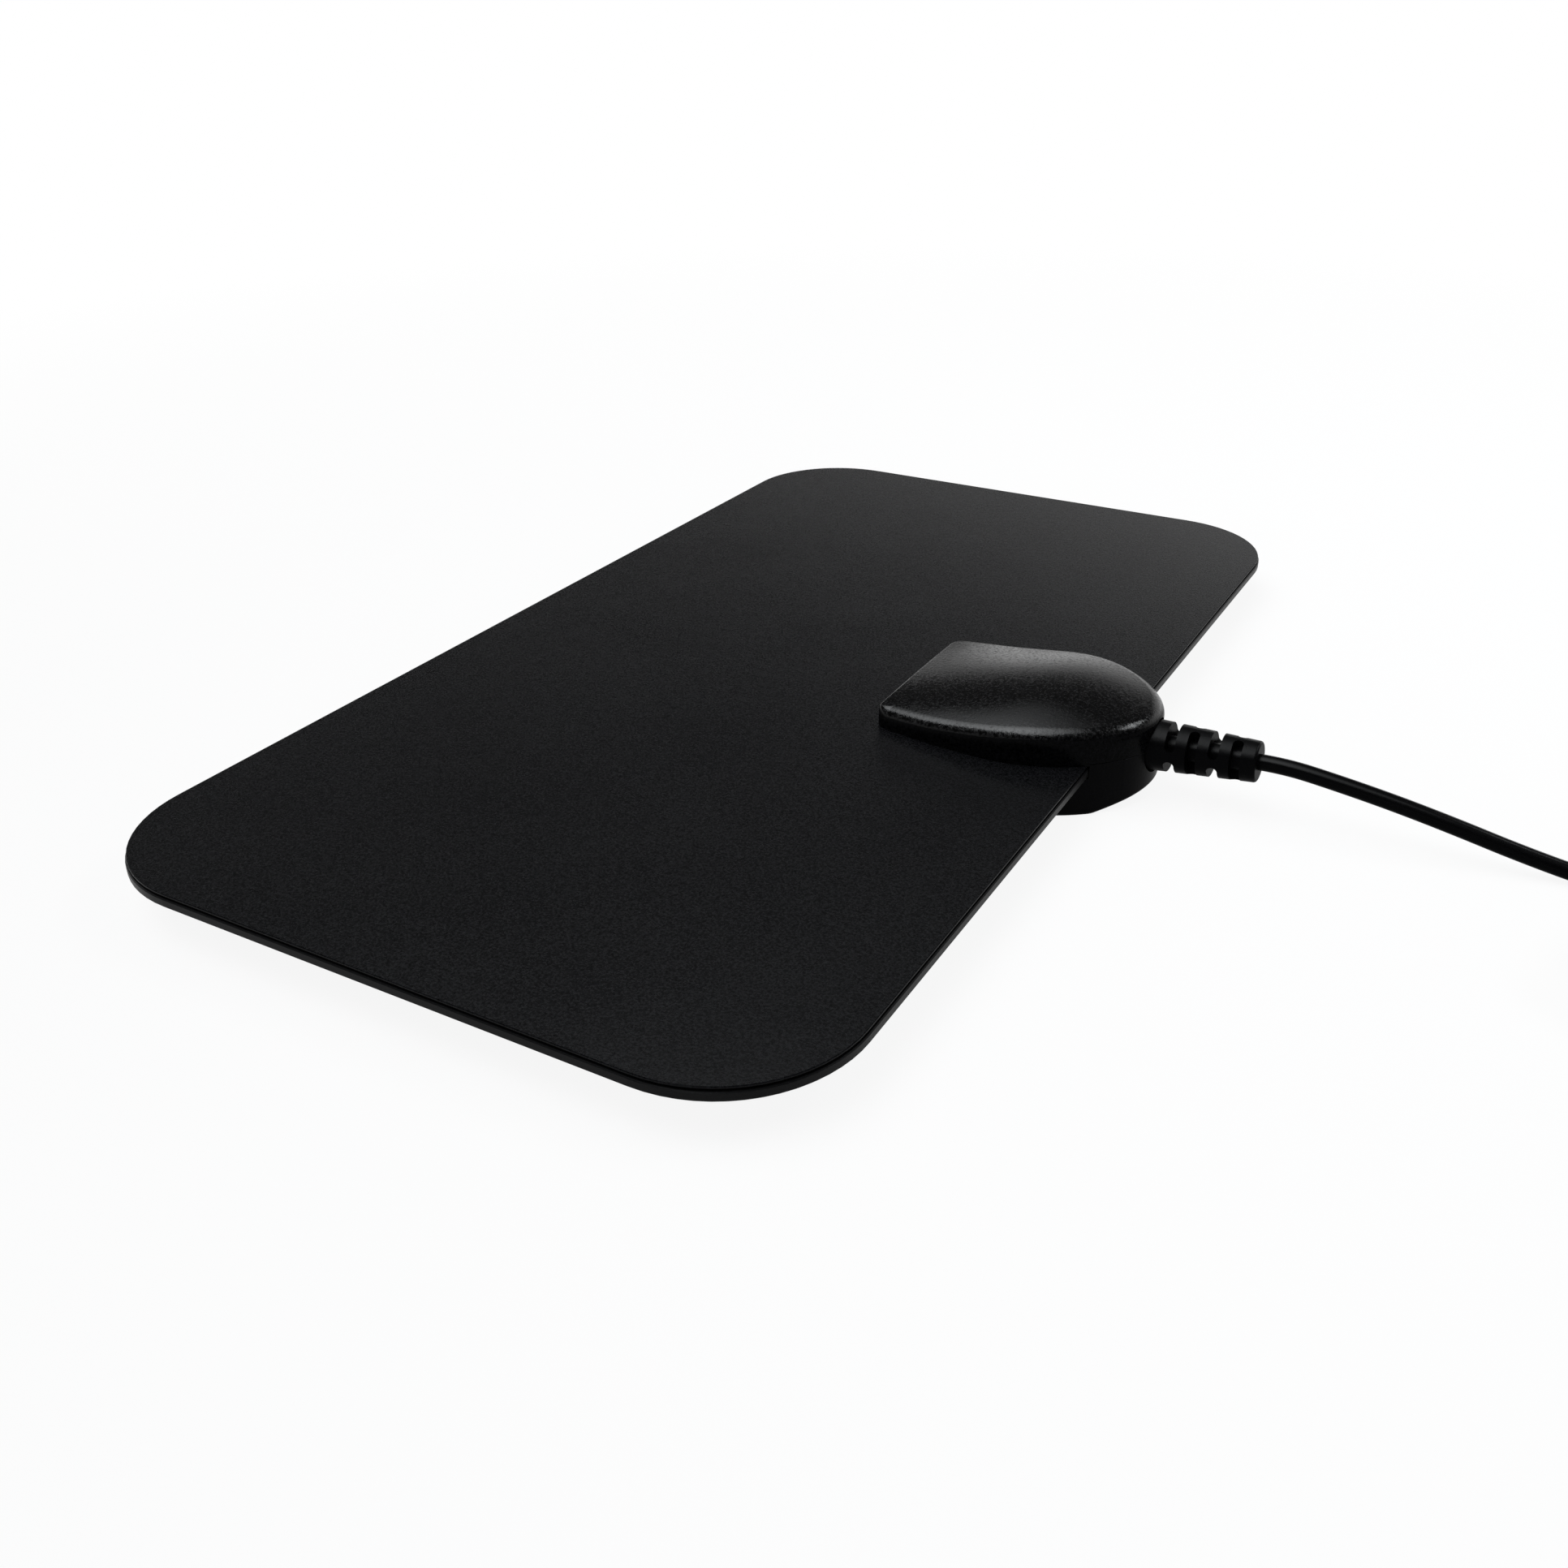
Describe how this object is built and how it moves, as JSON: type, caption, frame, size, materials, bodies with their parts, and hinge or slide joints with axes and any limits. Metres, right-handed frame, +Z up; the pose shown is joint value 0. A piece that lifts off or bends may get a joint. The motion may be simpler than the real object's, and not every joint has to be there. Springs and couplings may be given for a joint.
{
  "type": "tv antenna",
  "caption": "Flat indoor TV antenna: a thin round-cornered panel gripped at one long edge by a domed housing, with a coax cord that ends in a push-on aerial plug.",
  "frame": {"origin": "on the housing's flat base, below the middle of the panel's cord-side edge", "axes": "+Z up, square to the panel's face; +Y along the panel's long edges; +X towards the cord"},
  "size_m": [0.3564, 0.332, 0.0247],
  "materials": {
    "panel_front": "fine-grained satin black",
    "panel_back": "fine-grained satin black",
    "film": "smooth amber film",
    "foil": "bright foil",
    "housing": "satin black with a fine moulded grain",
    "screw_steel": "zinc plated",
    "board": "green solder mask",
    "ferrite": "dark sintered grey",
    "copper_wire": "enamelled",
    "chip": "ceramic tan",
    "spring_bronze": "bright",
    "soft_moulding": "matte black",
    "cord_jacket": "satin black",
    "cord_insulation": "milky white",
    "cord_screen": "twisted tinned strands",
    "tie": "matte black",
    "plug_moulding": "satin black",
    "plug_metal": "nickel plated",
    "plug_insulation": "milky white"
  },
  "bodies": {
    "root": {"front_cover": "panel_front", "back_cover": "panel_back", "antenna_film": "film", "foil_elements": "foil", "upper_shell": "housing", "lower_shell": "housing", "housing_screws": "screw_steel", "matching_board": "board", "balun_core": "ferrite", "balun_winding": "copper_wire", "board_chips": "chip", "contact_springs": "spring_bronze", "strain_relief": "soft_moulding", "cord_stub": "cord_jacket", "cord_core": "cord_insulation", "cord_braid": "cord_screen", "cord_lead": "cord_jacket", "cord_coil": "cord_jacket", "cord_tail": "cord_jacket", "coil_tie": "tie", "plug_grip": "plug_moulding", "plug_sleeve": "plug_metal", "plug_insulator": "plug_insulation", "plug_pin": "plug_metal"}
  },
  "joints": []
}
